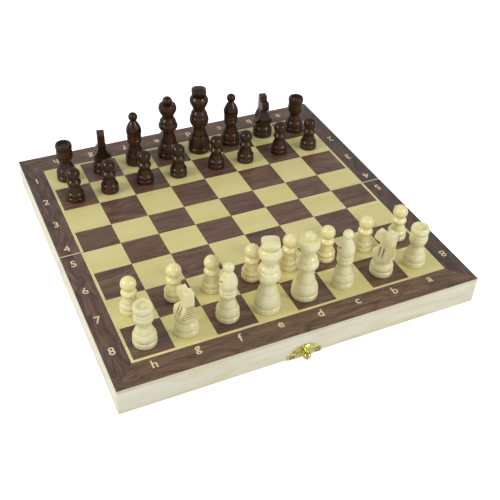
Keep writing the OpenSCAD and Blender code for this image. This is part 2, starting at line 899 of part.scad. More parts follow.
module pawn() {
    waist_z = pawn_foot_h + pawn_stem_h;
    head_z = waist_z + pawn_collar_h;
    seat_r = pawn_collar_r * 0.64;
    turned(concat(
        foot(pawn_foot_r, pawn_ring_h, pawn_foot_h, pawn_shelf_r),
        [
            [pawn_waist_r, waist_z, "s"],
            [pawn_collar_r, waist_z + pawn_collar_h * 0.42, "o"],
            [seat_r + groove, head_z - pawn_step, "i"],
            [seat_r, head_z, "l"]
        ],
        ball(pawn_ball_r, head_z + ball_seat(pawn_ball_r, seat_r), seat_r)
    ));
}

// Knight's head seen from its side: the back is at +X, the muzzle at -X. X counts in reaches of
// the nape from the axis, and height in head heights
module head_side() {
    back = outline([[1, 0], [1.06, 0.12, "o"], [1, 0.42, "s"], [1, 0.97, "l"], [0.94, 1, "l"]]);
    face = [
        [0.14, 1], [-0.02, 0.85], [-0.93, 0.895], [-1.01, 0.86], [-1.16, 0.66], [-1.13, 0.612],
        [-0.36, 0.575], [-0.3, 0.54]
    ];
    chest = outline([[-1.06, 0.26], [-1.17, 0.17, "o"], [-1.01, 0, "i"]]);
    polygon([for (p = concat(back, face, chest)) [p[0] * knight_nape, p[1] * knight_head_h]]);
}

// Half of the head seen from the front: the neck flares to its foot, above it the sides are flat
module head_front() {
    polygon(outline([
        [0, 0],
        [knight_neck_r, 0, "l"],
        [knight_neck_r, knight_head_h * 0.05, "l"],
        [knight_head_t / 2, knight_head_h * flare, "s"],
        [knight_head_t / 2, knight_head_h, "l"],
        [0, knight_head_h, "l"]
    ]));
}

module knight() {
    head_z = knight_foot_h + knight_cove_h;
    turned(concat(
        foot(knight_foot_r, ring_h, knight_foot_h, knight_shelf_r),
        [[knight_shelf_r - groove, knight_foot_h + knight_cove_h * 0.6, "i"], [knight_neck_r, head_z, "o"]]
    ));
    translate([0, 0, head_z])
        difference() {
            intersection() {
                rotate([90, 0, 0])
                    linear_extrude(4 * knight_neck_r, center = true)
                        head_side();
                rotate([90, 0, 90])
                    linear_extrude(4 * knight_neck_r, center = true)
                        union() {
                            head_front();
                            mirror([1, 0])
                                head_front();
                        }
                turned([
                    [0, 0],
                    [knight_neck_r, 0, "l"],
                    [knight_neck_r + blank_swell, knight_head_h * 0.18, "o"],
                    [knight_neck_r + blank_swell, knight_head_h, "l"],
                    [0, knight_head_h, "l"]
                ]);
            }
            for (side = [0, 1])
                mirror([0, side, 0])
                    for (place = neck_cuts)
                        neck_cut(place);
            for (i = [0:4])
                translate([knight_nape + mane_clear, 0, knight_head_h * (0.22 + 0.085 * i)])
                    rotate([90, 0, 0])
                        cylinder(h = 4 * knight_neck_r, r = groove, center = true, $fn = 16);
        }
}

// Straight cut down the flaring side of the neck, at this place along X
module neck_cut(place) {
    low = knight_head_h * 0.18;
    high = knight_head_h * 0.46;
    run_in = knight_neck_r - knight_head_t / 2 - groove;
    translate([place, knight_neck_r - groove, low])
        rotate([atan(run_in / (high - low)), 0, 0])
            cylinder(h = high - low, r = groove, $fn = 16);
}

// Middle of a playing square, for its file and its row from the front
function square_x(column) = (column - 3.5) * square;
function square_y(row) =
    let (near = row < 4, i = near ? 3 - row : row - 4)
        (near ? -1 : 1) * (fold_gap + row_from(near, i) + row_to(near, i)) / 2;

module chess_man(man) {
    color(man[2] ? "wheat" : "saddlebrown")
        translate([square_x(man[3]) + man[5], square_y(man[4]) + man[6], board_top])
            rotate([0, 0, man[7]]) {
                if (man[1] == "king") king();
                if (man[1] == "queen") queen();
                if (man[1] == "bishop") bishop();
                if (man[1] == "knight") knight();
                if (man[1] == "rook") rook();
                if (man[1] == "pawn") pawn();
            }
}

panel(true);  // near_panel
outer_wall(true);  // near_front_wall
side_wall(true, false);  // near_left_wall
side_wall(true, true);  // near_right_wall
hinge_wall(true);  // near_hinge_wall
border(true);  // near_border
stringing(true);  // near_stringing
squares(true, true);  // near_dark_squares
squares(true, false);  // near_light_squares
panel(false);  // far_panel
outer_wall(false);  // far_back_wall
side_wall(false, false);  // far_left_wall
side_wall(false, true);  // far_right_wall
hinge_wall(false);  // far_hinge_wall
border(false);  // far_border
stringing(false);  // far_stringing
squares(false, true);  // far_dark_squares
squares(false, false);  // far_light_squares
hinge_leaves(true);  // near_hinge_leaves
hinge_screws(true);  // near_hinge_screws
hinge_pins();
hinge_leaves(false);  // far_hinge_leaves
hinge_screws(false);  // far_hinge_screws
catch_plate();
nails(true);  // catch_nails
hasp_plate();
nails(false);  // hasp_nails
hasp_flap();
for (man = MEN)
    chess_man(man);
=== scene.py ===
"""Looks of the folding chess board box: veneers, pale walls, brass fittings and turned men."""
import math

import bmesh
import bpy
from mathutils import Matrix, Vector


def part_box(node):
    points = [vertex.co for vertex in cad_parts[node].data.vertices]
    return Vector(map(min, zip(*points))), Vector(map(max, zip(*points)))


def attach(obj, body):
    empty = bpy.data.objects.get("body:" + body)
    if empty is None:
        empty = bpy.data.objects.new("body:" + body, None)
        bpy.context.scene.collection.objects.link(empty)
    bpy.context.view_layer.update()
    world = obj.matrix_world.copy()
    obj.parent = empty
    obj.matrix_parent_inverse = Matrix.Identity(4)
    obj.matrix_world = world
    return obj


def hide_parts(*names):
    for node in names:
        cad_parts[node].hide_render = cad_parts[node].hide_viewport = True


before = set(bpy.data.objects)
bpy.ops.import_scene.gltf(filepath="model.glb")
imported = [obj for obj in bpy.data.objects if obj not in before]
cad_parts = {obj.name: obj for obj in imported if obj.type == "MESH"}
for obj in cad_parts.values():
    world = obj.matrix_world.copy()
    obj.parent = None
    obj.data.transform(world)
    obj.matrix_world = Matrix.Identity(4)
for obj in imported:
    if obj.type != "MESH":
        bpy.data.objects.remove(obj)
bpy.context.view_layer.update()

MM = 0.001

# Camera, as the photograph was taken: the place in metres, the view direction's turn from +Y
# towards +X, its dip below level and the roll about it, the lens and the sensor in millimetres
CAMERA_PLACE = Vector((-0.2291, -0.5040, 0.4474))
CAMERA_TURN = math.radians(26.28)
CAMERA_DIP = math.radians(39.67)
CAMERA_ROLL = math.radians(2.54)
CAMERA_LENS = 57.8
CAMERA_SENSOR = 36

# Studio: soft boxes as (name, place in metres, watts), and the levels of world and floor
SOFT_BOXES = (("left_box", (-0.98, 0.02, 0.62), 5.4), ("right_box", (0.62, -0.82, 0.62), 4.4))
SOFT_BOX_SIZE = 0.3
SOFT_BOX_AIM = Vector((0, 0, 0.03))
WORLD_LIGHT = 0.66
WORLD_SEEN = 1.0
FLOOR_SIZE = 12
FLOOR_DROP = 0.5 * MM
FLOOR_GREY = 0.86
FLOOR_ROUGHNESS = 0.9
FLOOR_GLOW = 0.8

# Heights and edges that follow the CAD model, in metres
BOARD_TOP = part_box("near_dark_squares")[1].z
VENEER = BOARD_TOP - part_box("near_dark_squares")[0].z
BOARD_EDGE_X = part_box("near_border")[1].x
BOARD_EDGE_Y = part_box("far_border")[1].y
STRING_EDGE_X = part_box("near_stringing")[1].x

# Squares and fold: the gap between the halves, the far veneer's trim at it, and the distance from
# the fold to the first line between squares on each half
SQUARE = 33 * MM
FOLD_GAP = 0.6 * MM
FOLD_TRIM = 0.8 * MM
FOLD_ROW = {"near": 28.5 * MM, "far": 27.0 * MM}

# Each half and each side, with its sign along Y or X
HALVES = (("near", -1), ("far", 1))
SIDES = (("left", -1), ("right", 1))


def make_camera():
    data = bpy.data.cameras.new("camera")
    data.lens = CAMERA_LENS
    data.sensor_width = CAMERA_SENSOR
    camera = bpy.data.objects.new("camera", data)
    bpy.context.scene.collection.objects.link(camera)
    level = math.cos(CAMERA_DIP)
    forward = Vector((math.sin(CAMERA_TURN) * level, math.cos(CAMERA_TURN) * level, -math.sin(CAMERA_DIP)))
    right = forward.cross(Vector((0, 0, 1))).normalized()
    up = right.cross(forward)
    rolled_right = right * math.cos(CAMERA_ROLL) + up * math.sin(CAMERA_ROLL)
    rolled_up = rolled_right.cross(forward)
    turn = Matrix((rolled_right, rolled_up, -forward)).transposed().to_4x4()
    camera.matrix_world = Matrix.Translation(CAMERA_PLACE) @ turn
    bpy.context.scene.camera = camera


def make_lights():
    """Two soft boxes, left and front right, as their twin highlights on the dark men show."""
    for name, place, watts in SOFT_BOXES:
        data = bpy.data.lights.new(name, "AREA")
        data.shape = "DISK"
        data.size = SOFT_BOX_SIZE
        data.energy = watts
        light = bpy.data.objects.new(name, data)
        bpy.context.scene.collection.objects.link(light)
        light.location = place
        light.rotation_euler = (SOFT_BOX_AIM - Vector(place)).to_track_quat("-Z", "Y").to_euler()


def white_world():
    """Soft light from all round, plain white where the camera sees it."""
    world = bpy.data.worlds.new("studio")
    bpy.context.scene.world = world
    world.use_nodes = True
    nodes, links = world.node_tree.nodes, world.node_tree.links
    nodes.clear()
    out = nodes.new("ShaderNodeOutputWorld")
    mix = nodes.new("ShaderNodeMixShader")
    light = nodes.new("ShaderNodeBackground")
    light.inputs["Strength"].default_value = WORLD_LIGHT
    seen = nodes.new("ShaderNodeBackground")
    seen.inputs["Strength"].default_value = WORLD_SEEN
    path = nodes.new("ShaderNodeLightPath")
    links.new(path.outputs["Is Camera Ray"], mix.inputs["Fac"])
    links.new(light.outputs[0], mix.inputs[1])
    links.new(seen.outputs[0], mix.inputs[2])
    links.new(mix.outputs[0], out.inputs["Surface"])


def make_floor():
    """Pale floor that keeps the shadow and is white elsewhere."""
    bpy.ops.mesh.primitive_plane_add(size=FLOOR_SIZE, location=(0, 0, -FLOOR_DROP))
    floor = bpy.context.object
    floor.name = "floor"
    material = bpy.data.materials.new("floor")
    material.use_nodes = True
    nodes, links = material.node_tree.nodes, material.node_tree.links
    shader = nodes["Principled BSDF"]
    shader.inputs["Base Color"].default_value = (FLOOR_GREY, FLOOR_GREY, FLOOR_GREY, 1)
    shader.inputs["Roughness"].default_value = FLOOR_ROUGHNESS
    glow = nodes.new("ShaderNodeEmission")
    glow.inputs["Color"].default_value = (1, 1, 1, 1)
    add = nodes.new("ShaderNodeAddShader")
    path = nodes.new("ShaderNodeLightPath")
    scale = nodes.new("ShaderNodeMath")
    scale.operation = "MULTIPLY"
    scale.inputs[1].default_value = FLOOR_GLOW
    links.new(path.outputs["Is Camera Ray"], scale.inputs[0])
    links.new(scale.outputs[0], glow.inputs["Strength"])
    links.new(shader.outputs[0], add.inputs[0])
    links.new(glow.outputs[0], add.inputs[1])
    links.new(add.outputs[0], nodes["Material Output"].inputs["Surface"])
    floor.data.materials.append(material)


class Shade:
    """Small helper that adds nodes to one material."""

    def __init__(self, name):
        self.material = bpy.data.materials.new(name)
        self.material.use_nodes = True
        self.nodes = self.material.node_tree.nodes
        self.links = self.material.node_tree.links
        self.shader = self.nodes["Principled BSDF"]

    def add(self, kind, **settings):
        node = self.nodes.new(kind)
        for key, value in settings.items():
            setattr(node, key, value)
        return node

    def link(self, source, target):
        self.links.new(source, target)

    def feed(self, value, target):
        """Links a socket to the target, or sets the target to a plain value."""
        if isinstance(value, bpy.types.NodeSocket):
            self.link(value, target)
        else:
            target.default_value = value

    def coords(self):
        return self.add("ShaderNodeTexCoord").outputs["Object"]

    def vector(self, operation, *values):
        return self.operate("ShaderNodeVectorMath", operation, values)

    def math(self, operation, *values):
        return self.operate("ShaderNodeMath", operation, values)

    def operate(self, kind, operation, values):
        node = self.add(kind, operation=operation)
        for socket, value in zip(node.inputs, values):
            self.feed(value, socket)
        return node.outputs[0]

    def noise(self, vector, scale, detail, roughness=0.55):
        node = self.add("ShaderNodeTexNoise")
        node.inputs["Scale"].default_value = scale
        node.inputs["Detail"].default_value = detail
        node.inputs["Roughness"].default_value = roughness
        self.link(vector, node.inputs["Vector"])
        return node.outputs["Fac"]

    def ramp(self, factor, stops):
        node = self.add("ShaderNodeValToRGB")
        elements = node.color_ramp.elements
        while len(elements) < len(stops):
            elements.new(0.5)
        for element, (place, colour) in zip(elements, stops):
            element.position = place
            element.color = (*colour, 1)
        self.link(factor, node.inputs["Fac"])
        return node.outputs["Color"]

    def multiplied(self, colour, mask, factor=1.0):
        """The colour times the mask, as far as the factor says."""
        node = self.add("ShaderNodeMix", data_type="RGBA", blend_type="MULTIPLY")
        self.feed(factor, node.inputs["Factor"])
        self.feed(colour, node.inputs["A"])
        self.feed(mask, node.inputs["B"])
        return node.outputs["Result"]

    def bump(self, height, distance, strength):
        node = self.add("ShaderNodeBump")
        node.inputs["Strength"].default_value = strength
        node.inputs["Distance"].default_value = distance
        self.link(height, node.inputs["Height"])
        self.link(node.outputs[0], self.shader.inputs["Normal"])

    def finish(self, colour, roughness, coat=0.0, coat_roughness=0.1, metallic=0.0, shine=0.5,
               shine_tint=(1, 1, 1)):
        self.link(colour, self.shader.inputs["Base Color"])
        self.feed(roughness, self.shader.inputs["Roughness"])
        self.shader.inputs["Coat Weight"].default_value = coat
        self.shader.inputs["Coat Roughness"].default_value = coat_roughness
        self.shader.inputs["Metallic"].default_value = metallic
        self.shader.inputs["Specular IOR Level"].default_value = shine
        self.shader.inputs["Specular Tint"].default_value = (*shine_tint, 1)
        return self.material


def srgb(red, green, blue):
    """Linear colour from the 0 to 255 values that it should show."""
    return tuple(
        value / 255 / 12.92 if value <= 10 else ((value / 255 + 0.055) / 1.055) ** 2.4
        for value in (red, green, blue)
    )


def tones(*colours):
    """Linear tones of one wood, dark to light."""
    return tuple(srgb(*colour) for colour in colours)


# Where the dark, middle and light tones of a wood lie in its grain
GRAIN_PLACES = (0.34, 0.5, 0.66)
# How texture shrinks along the grain: for the lines' swerve, the broad veins and the pores
SWERVE_ALONG = 0.55
VEINS_ALONG = 0.22
PORES_ALONG = 0.04
# Swerve: its texture scale, and its reach in millimetres for each millimetre of wander
SWERVE_SCALE = 38
SWERVE_REACH = 6
# Places of the faint and the full vein in the flow of the figure
FAINT_VEIN = 0.44
FULL_VEIN = 0.57
PORE_STOPS = ((0.34, (0.6, 0.55, 0.5)), (0.44, (1, 1, 1)))
# The broad figure is so many times wider than the fine lines, and the pores so many times finer
FIGURE_WIDTH = 6
PORE_FINENESS = 4
# How far apart the cells of one veneer are cut from the log, in metres
CELL_SHIFT = 0.9
# Strength of the grain's bump, how far the grain changes the gloss, and the lacquer's roughness
GRAIN_STRENGTH = 0.4
GRAIN_GLOSS = 0.12
COAT_ROUGHNESS = 0.16

# Metal: texture scales of its wear and pits, what share of each colour the worn places keep, where
# worn turns to bright, the pits' depth in metres and strength, and how far wear changes the gloss
WEAR_SCALE = 260
PIT_SCALE = 900
WORN_SHARES = (0.5, 0.48, 0.35)
WORN_PLACE = 0.38
BRIGHT_PLACE = 0.52
PIT_DEPTH = 0.02 * MM
PIT_STRENGTH = 0.3
WEAR_GLOSS = 0.18

# Printed ink: texture scale of its wear and where worn and full ink lie in it
INK_WEAR_SCALE = 1400
INK_PLACES = (0.3, 0.5)
INK_ROUGHNESS = 0.45


def along(axis, share):
    """Texture stretch for grain that runs along axis 0, 1 or 2."""
    return tuple(share if i == axis else 1.0 for i in range(3))


def cell_grain(shade, vector, cells):
    """Coordinates that start anew in each cell of the lattice, and a random value for each cell."""
    (size_x, size_y), (shift_x, shift_y) = cells
    shifted = shade.vector("ADD", vector, (shift_x, shift_y, 0))
    scaled = shade.vector("MULTIPLY", shifted, (1 / size_x, 1 / size_y, 0))
    pick = shade.add("ShaderNodeTexWhiteNoise", noise_dimensions="3D")
    shade.link(shade.vector("FLOOR", scaled), pick.inputs["Vector"])
    moved = shade.vector("MULTIPLY", pick.outputs["Color"], (CELL_SHIFT,) * 3)
    return shade.vector("ADD", vector, moved), pick.outputs["Value"]


def swerved(shade, vector, axis, wander):
    """Coordinates moved about, so that the grain lines swerve."""
    swerve = shade.add("ShaderNodeTexNoise")
    shade.link(shade.vector("MULTIPLY", vector, along(axis, SWERVE_ALONG)), swerve.inputs["Vector"])
    swerve.inputs["Scale"].default_value = SWERVE_SCALE
    swerve.inputs["Detail"].default_value = 1.5
    offset = shade.vector("MULTIPLY", swerve.outputs["Color"], (wander * SWERVE_REACH * MM,) * 3)
    return shade.vector("ADD", vector, offset)


def vein_mask(shade, bent, axis, veins, scale, band):
    flow = shade.noise(shade.vector("MULTIPLY", bent, along(axis, VEINS_ALONG)), scale, detail=1.5)
    vein = tuple(1 - share for share in veins)
    faint = tuple(1 - share / 2 for share in veins)
    plain = (1, 1, 1)
    return shade.ramp(flow, (
        (FAINT_VEIN - band, plain), (FAINT_VEIN, faint), (FAINT_VEIN + band, plain),
        (FULL_VEIN - band, plain), (FULL_VEIN, vein), (FULL_VEIN + band, plain),
    ))


def tint_mask(shade, chance, tint):
    """Slight change of colour by chance, from one piece or cell to the next."""
    low, high = 1 - tint, 1 + tint
    return shade.ramp(chance, (
        (0.0, (low, low, low)), (0.35, (1, 0.99, 0.98)), (0.7, (high, 1, low)), (1.0, (low, 1, 1))
    ))


def wood(name, grain_tones, axis, line=0.9, length=22.0, wander=1.2, lines=0.6, veins=(0, 0, 0),
         vein_scale=62, vein_band=0.03, pores=0.2, cells=None, gloss=0.4, coat=0.0, relief=0.03, tint=0.0,
         **shine):
    """Wood from three tones, dark to light.

    line is the width of a grain line in mm and length how many times longer it is, wander how far
    the lines swerve in mm, lines how strong the fine ones are, veins what the broad figure takes
    off each colour. cells gives each cell of that lattice (size and shift in metres) its own
    stretch of wood. relief is in mm.
    """
    shade = Shade(name)
    vector = shade.coords()
    chance = None
    if cells:
        vector, chance = cell_grain(shade, vector, cells)
    bent = swerved(shade, vector, axis, wander)
    grain_vector = shade.vector("MULTIPLY", bent, along(axis, 1 / length))
    frequency = 0.5 / (line * MM)
    fine = shade.noise(grain_vector, frequency, detail=3.0, roughness=0.6)
    broad = shade.noise(grain_vector, frequency / FIGURE_WIDTH, detail=2.0)
    grain = shade.math("ADD", shade.math("MULTIPLY", fine, lines), shade.math("MULTIPLY", broad, 1 - lines))
    colour = shade.ramp(grain, tuple(zip(GRAIN_PLACES, grain_tones)))
    if any(veins):
        colour = shade.multiplied(colour, vein_mask(shade, bent, axis, veins, vein_scale, vein_band))
    pore_vector = shade.vector("MULTIPLY", bent, along(axis, PORES_ALONG))
    pore = shade.noise(pore_vector, frequency * PORE_FINENESS, detail=2.0)
    colour = shade.multiplied(colour, shade.ramp(pore, PORE_STOPS), pores)
    if tint:
        chance = chance or shade.add("ShaderNodeObjectInfo").outputs["Random"]
        colour = shade.multiplied(colour, tint_mask(shade, chance, tint))
    shade.bump(fine, relief * MM, GRAIN_STRENGTH)
    rough = shade.math("ADD", shade.math("MULTIPLY", fine, GRAIN_GLOSS), gloss - GRAIN_GLOSS / 2)
    return shade.finish(colour, rough, coat=coat, coat_roughness=COAT_ROUGHNESS, **shine)


def metal(name, colour, roughness):
    """Stamped metal, mottled by wear and finely pitted."""
    shade = Shade(name)
    vector = shade.coords()
    wear = shade.noise(vector, WEAR_SCALE, detail=5.0)
    pits = shade.noise(vector, PIT_SCALE, detail=3.0)
    dull = tuple(channel * share for channel, share in zip(colour, WORN_SHARES))
    tone = shade.ramp(wear, ((WORN_PLACE, dull), (BRIGHT_PLACE, colour)))
    shade.bump(pits, PIT_DEPTH, PIT_STRENGTH)
    rough = shade.math("ADD", shade.math("MULTIPLY", wear, WEAR_GLOSS), roughness - WEAR_GLOSS / 2)
    return shade.finish(tone, rough, metallic=1.0)


def ink(name):
    """Pale printed lettering, worn a little through to the wood."""
    shade = Shade(name)
    wear = shade.noise(shade.coords(), INK_WEAR_SCALE, detail=3.0)
    colour = shade.ramp(wear, tuple(zip(INK_PLACES, tones((196, 178, 132), (226, 211, 168)))))
    return shade.finish(colour, INK_ROUGHNESS)


VENEER_FINISH = {"gloss": 0.38, "coat": 0.15}


def wall_woods():
    pine = tones((214, 208, 180), (229, 225, 203), (238, 235, 219))
    ply = tones((208, 200, 168), (221, 215, 186), (231, 227, 203))
    broad = {"line": 1.6, "length": 30, "wander": 3.0, "lines": 0.3, "veins": (0.06, 0.08, 0.22),
             "vein_scale": 30, "vein_band": 0.06, "pores": 0.04, "gloss": 0.5}
    return {
        "pine_x": wood("pine_x", pine, 0, **broad),
        "pine_y": wood("pine_y", pine, 1, **broad),
        "ply": wood("ply", ply, 0, line=0.5, pores=0.1, gloss=0.55),
    }


def border_woods():
    warm = tones((72, 51, 40), (105, 79, 61), (132, 103, 79))
    brown = tones((64, 47, 42), (96, 72, 60), (125, 97, 79))
    purple = tones((54, 40, 38), (82, 62, 55), (111, 86, 73))
    reddish = tones((72, 50, 42), (104, 77, 63), (130, 99, 80))
    pale = tones((208, 197, 132), (221, 211, 150), (229, 220, 164))
    swirl = {"line": 0.7, "wander": 3.6, "veins": (0.42, 0.45, 0.42), "vein_scale": 70, "vein_band": 0.04,
             "pores": 0.45, **VENEER_FINISH}
    return {
        "stringing": wood("stringing", pale, 0, line=0.5, pores=0.03, **VENEER_FINISH),
        "strip_x": wood("strip_x", warm, 0, **swirl),
        "strip_y": wood("strip_y", brown, 1, **swirl),
        "strip_right_y": wood("strip_right_y", purple, 1, **swirl),
        "strip_red_x": wood("strip_red_x", reddish, 0, **swirl),
        "strip_red_y": wood("strip_red_y", reddish, 1, **swirl),
    }


def square_woods():
    """Walnut and maple squares: each is its own cut of veneer."""
    walnut = tones((74, 52, 43), (104, 77, 61), (132, 102, 82))
    maple = tones((213, 203, 134), (219, 209, 142), (224, 216, 152))
    made = {}
    for half, sign in HALVES:
        cells = ((SQUARE, SQUARE), (0, -sign * FOLD_ROW[half]))
        made[half + "_dark"] = wood(half + "_dark", walnut, 0, line=0.55, length=30, wander=1.8,
                                    veins=(0.3, 0.32, 0.3), vein_scale=48, pores=0.6, cells=cells,
                                    tint=0.07, **VENEER_FINISH)
        made[half + "_light"] = wood(half + "_light", maple, 0, line=1.2, lines=0.4, pores=0.03,
                                     cells=cells, tint=0.012, **VENEER_FINISH)
    return made


def man_woods():
    """Woods of the men, and of the faces that the saw leaves on them, whose darker tones are painted shade
    in the cuts.
    """
    light = tones((222, 211, 150), (233, 226, 173), (240, 234, 193))
    # Tones of the light pawns: yellower, as their wood is, and brighter than the other light men, which is
    # painted light.
    lit_yellow = tones((232, 219, 150), (242, 232, 172), (247, 240, 192))
    # Darker tones for the cut faces: painted shade in the knight's and bishop's cuts.
    light_cut_shade_tones = tones((190, 165, 98), (206, 182, 114), (218, 196, 130))
    dark = tones((26, 14, 9), (44, 26, 17), (78, 47, 29))
    dark_cut_shade_tones = tones((14, 8, 6), (24, 15, 10), (38, 24, 16))
    pale = {"line": 0.9, "length": 18, "lines": 0.4, "pores": 0.05, "gloss": 0.34, "coat": 0.5,
            "relief": 0.01}
    deep = {"line": 0.8, "length": 20, "lines": 0.5, "pores": 0.4, "gloss": 0.32, "coat": 0.08,
            "relief": 0.01, "shine": 0.42, "shine_tint": (1, 0.8, 0.64)}
    return {
        "light_man": wood("light_man", light, 2, tint=0.02, **pale),
        "light_pawn": wood("light_pawn", lit_yellow, 2, tint=0.03, **pale),
        "light_cut": wood("light_cut", light_cut_shade_tones, 2, **pale),
        "dark_man": wood("dark_man", dark, 2, tint=0.06, **deep),
        "dark_cut": wood("dark_cut", dark_cut_shade_tones, 2, **deep),
    }


def metals():
    return {
        "brass": metal("brass", (0.86, 0.80, 0.36), 0.2),
        "nail": metal("nail", (0.66, 0.60, 0.30), 0.26),
        # Near-black metal for the rings of painted shade round the nail heads.
        "painted_nail_shade": metal("painted_nail_shade", (0.10, 0.085, 0.03), 0.45),
        "steel": metal("steel", (0.62, 0.60, 0.56), 0.3),
    }


def make_materials():
    return {**wall_woods(), **border_woods(), **square_woods(), **man_woods(), **metals(), "ink": ink("ink")}


def dress(node, material):
    """Gives a CAD node one material."""
    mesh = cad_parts[node].data
    mesh.materials.clear()
    mesh.materials.append(material)


def dress_box(materials):
    for half, _ in HALVES:
        dress(half + "_panel", materials["ply"])
        dress(half + "_hinge_wall", materials["pine_x"])
        dress(half + "_left_wall", materials["pine_y"])
        dress(half + "_right_wall", materials["pine_y"])
        dress(half + "_stringing", materials["stringing"])
        dress(half + "_dark_squares", materials[half + "_dark"])
        dress(half + "_light_squares", materials[half + "_light"])
        dress(half + "_hinge_leaves", materials["brass"])
        dress(half + "_hinge_screws", materials["nail"])
    dress("near_front_wall", materials["pine_x"])
    dress("far_back_wall", materials["pine_x"])
    dress("hinge_pins", materials["steel"])
    for node in ("catch_plate", "hasp_plate", "hasp_flap"):
        dress(node, materials["brass"])
    for node in ("catch_nails", "hasp_nails"):
        dress(node, materials["nail"])


def add_piece(name, mesh, material, body, place=(0, 0, 0), turn=0.0, stands_for=()):
    """Links a mesh as a piece that rides on a body and stands for CAD nodes.

    material is one material, or a tuple of them for a mesh with as many material slots.
    """
    piece = bpy.data.objects.new(name, mesh)
    bpy.context.scene.collection.objects.link(piece)
    piece.location = place
    piece.rotation_euler.z = turn
    materials = material if isinstance(material, tuple) else (material,)
    for i, each in enumerate(materials):
        if i < len(mesh.materials):
            mesh.materials[i] = each
        else:
            mesh.materials.append(each)
    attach(piece, body)
    if stands_for:
        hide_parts(*stands_for)
    return piece


# Edges sharper than this stay crisp, in degrees: on turned and sawn work, and on the knight's head
SHARP = 35
HEAD_SHARP = 28


def mesh_from(name, points, faces):
    """Mesh in metres from points in millimetres, smooth but for its sharp edges."""
    mesh = bpy.data.meshes.new(name)
    mesh.from_pydata([tuple(c * MM for c in point) for point in points], [], faces)
    mesh.validate()
    face_outwards(mesh)
    smooth(mesh, SHARP)
    return mesh


def face_outwards(mesh):
    work = bmesh.new()
    work.from_mesh(mesh)
    bmesh.ops.recalc_face_normals(work, faces=work.faces)
    work.to_mesh(mesh)
    work.free()


def smooth(mesh, sharp):
    mesh.shade_smooth()
    mesh.set_sharp_from_angle(angle=math.radians(sharp))


def applied(mesh, *steps):
    """The mesh after modifiers, each given as its type and its settings."""
    holder = bpy.data.objects.new("holder", mesh)
    bpy.context.scene.collection.objects.link(holder)
    for kind, settings in steps:
        modifier = holder.modifiers.new(kind.lower(), kind)
        for key, value in settings.items():
            setattr(modifier, key, value)
    evaluated = holder.evaluated_get(bpy.context.evaluated_depsgraph_get())
    result = bpy.data.meshes.new_from_object(evaluated)
    bpy.data.objects.remove(holder)
    return result


def combined(mesh, other, operation):
    """The mesh cut by the other one, or what both share."""
    tool = bpy.data.objects.new("tool", other)
    bpy.context.scene.collection.objects.link(tool)
    result = applied(mesh, ("BOOLEAN", {"operation": operation, "object": tool, "solver": "EXACT"}))
    bpy.data.objects.remove(tool)
    return result


def sawn(mesh, cutters):
    """The mesh without the cutters. The cut faces take its second material."""
    for item in (mesh, *cutters):
        for _ in range(2 - len(item.materials)):
            item.materials.append(None)
    for cutter in cutters:
        for face in cutter.polygons:
            face.material_index = 1
        mesh = combined(mesh, cutter, "DIFFERENCE")
    return mesh


def joined(name, meshes):
    """One mesh of several, with the material slots of the last."""
    work = bmesh.new()
    for mesh in meshes:
        work.from_mesh(mesh)
    result = bpy.data.meshes.new(name)
    for slot in meshes[-1].materials:
        result.materials.append(slot)
    work.to_mesh(result)
    work.free()
    return result


# Turned outlines: stations are (radius, height, run) in millimetres, where run says how the outline
# comes to the station: "line", "wave" upright at both ends, "out" upright at its end, "in" upright
# at its start
STEPS = 9
SEGMENTS = 56
SHARES = {
    "wave": lambda t: (1 - math.cos(math.pi * t)) / 2,
    "out": lambda t: math.sin(math.pi * t / 2),
    "in": lambda t: 1 - math.cos(math.pi * t / 2),
}
# Corners of more than so many degrees are eased, over so many millimetres each way but at most over
# this share of a run
EASED_CORNER = 22
EASE = 0.3
CAP_EASE = 0.6
EASE_SHARE = 0.45
SMALL = 1e-6


def outline(stations):
    points = [stations[0][:2]]
    for (r0, z0, _), (r1, z1, run) in zip(stations, stations[1:]):
        if run == "line":
            points.append((r1, z1))
        else:
            points += [
                (r0 + (r1 - r0) * SHARES[run](i / STEPS), z0 + (z1 - z0) * i / STEPS)
                for i in range(1, STEPS + 1)
            ]
    return points


def eased(points, reach):
    """The outline with its corners rounded over."""
    result = [points[0]]
    for before, corner, after in zip(points, points[1:], points[2:]):
        a, b, c = Vector(before), Vector(corner), Vector(after)
        arrive, leave = b - a, c - b
        short = arrive.length < SMALL or leave.length < SMALL
        if short or arrive.angle(leave) < math.radians(EASED_CORNER):
            result.append(corner)
            continue
        start = b - arrive.normalized() * min(reach, arrive.length * EASE_SHARE)
        end = b + leave.normalized() * min(reach, leave.length * EASE_SHARE)
        middle = start * 0.25 + b * 0.5 + end * 0.25
        result += [tuple(start), tuple(middle), tuple(end)]
    return result + [points[-1]]


def revolved(name, points, base_z=0.0, corner=lambda share: share):
    """Closed solid about the axis through the outline. corner squares its section."""
    rings = [point for point in points if point[0] > SMALL]
    last = len(rings) * SEGMENTS + 1
    angles = [2 * math.pi * k / SEGMENTS for k in range(SEGMENTS)]
    verts = [(0, 0, base_z + points[0][1])]
    for radius, height in rings:
        verts += [(radius * corner(math.cos(angle)), radius * corner(math.sin(angle)), base_z + height)
                  for angle in angles]
    verts.append((0, 0, base_z + points[-1][1]))
    faces = []
    for k in range(SEGMENTS):
        following = (k + 1) % SEGMENTS
        faces.append((0, 1 + following, 1 + k))
        for ring in range(len(rings) - 1):
            low, high = 1 + ring * SEGMENTS, 1 + (ring + 1) * SEGMENTS
            faces.append((low + k, low + following, high + following, high + k))
        top = 1 + (len(rings) - 1) * SEGMENTS
        faces.append((top + k, top + following, last))
    return mesh_from(name, verts, faces)


def lathe(name, stations):
    """Turned solid, closed flat where the outline doesn't end on the axis."""
    points = outline(stations)
    if points[-1][0] > 0:
        points.append((0, points[-1][1]))
    return revolved(name, eased(points, EASE))


